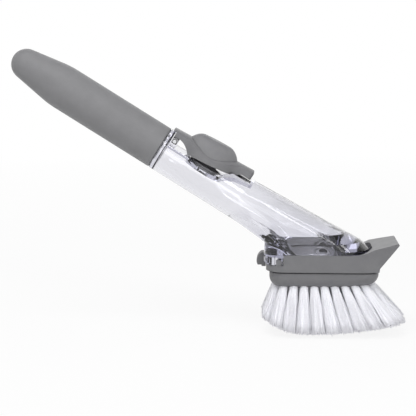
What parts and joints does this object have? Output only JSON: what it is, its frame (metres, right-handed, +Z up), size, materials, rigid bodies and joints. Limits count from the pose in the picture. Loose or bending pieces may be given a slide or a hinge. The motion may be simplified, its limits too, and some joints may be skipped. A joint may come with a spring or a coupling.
{
  "type": "dish wand",
  "caption": "Soap-dispensing dish wand: clear hollow body, screw-on soft handle, pump button, and a clip-on bristle head with a scraper prow.",
  "frame": {"origin": "centre of the bristle tips, on the surface that the bristles meet", "axes": "+Z up from the bristle tips to the head, +X from the handle to the toe of the brush head, Y across"},
  "size_m": [0.2536, 0.0574, 0.1838],
  "materials": {
    "clear": "clear moulded styrene plastic, polished",
    "soft_grey": "soft-touch thermoplastic rubber, fine matt",
    "hard_grey": "moulded polypropylene, satin",
    "button_grey": "moulded plastic, fine matt",
    "nylon": "white nylon filament",
    "dark_rubber": "moulded silicone rubber",
    "pale_rubber": "translucent silicone rubber",
    "steel": "drawn stainless wire"
  },
  "bodies": {
    "chamber": {"chamber_body": "clear", "foot_plate": "clear", "slit_valve": "pale_rubber", "valve_ring": "hard_grey", "pump_dome": "dark_rubber", "dome_ring": "hard_grey", "pivot_pin": "steel", "shoulder_seal": "dark_rubber"},
    "washer": {"sealing_washer": "dark_rubber"},
    "grip": {"grip_core": "hard_grey", "grip_sleeve": "soft_grey"},
    "button": {"button_lever": "button_grey", "thumb_pad": "button_grey"},
    "head": {"head_shoe": "hard_grey", "tuft_block": "hard_grey", "tufts_outer": "nylon", "tufts_middle": "nylon", "tufts_centre": "nylon", "tuft_staples": "steel"},
    "latch": {"latch_tongue": "hard_grey"}
  },
  "joints": [
    {"name": "washer_lift", "type": "slide", "parent": "chamber", "child": "washer", "axis": [-0.848, 0, 0.5299], "range_m": [0, 0.016]},
    {"name": "grip_unscrew", "type": "hinge", "parent": "washer", "child": "grip", "pos_m": [-0.10431, 0, 0.11768], "axis": [-0.848, 0, 0.5299], "range_deg": [0, 720]},
    {"name": "button_press", "type": "hinge", "parent": "chamber", "child": "button", "pos_m": [-0.09706, 0, 0.124], "axis": [0, 1, 0], "range_deg": [0, 2.5], "stiffness_Nm_per_rad": 2, "deforming": ["pump_dome"]},
    {"name": "head_release", "type": "slide", "parent": "chamber", "child": "head", "axis": [0, 0, -1], "range_m": [0, 0.012], "deforming": ["latch_tongue"]},
    {"name": "latch_flex", "type": "hinge", "parent": "head", "child": "latch", "pos_m": [-0.03975, 0, 0.043], "axis": [0, -1, 0], "range_deg": [0, 12], "stiffness_Nm_per_rad": 0.15}
  ],
  "couplings": [
    {"joint": "washer_lift", "follows": "grip_unscrew", "m_per_rad": 0.0012732}
  ]
}
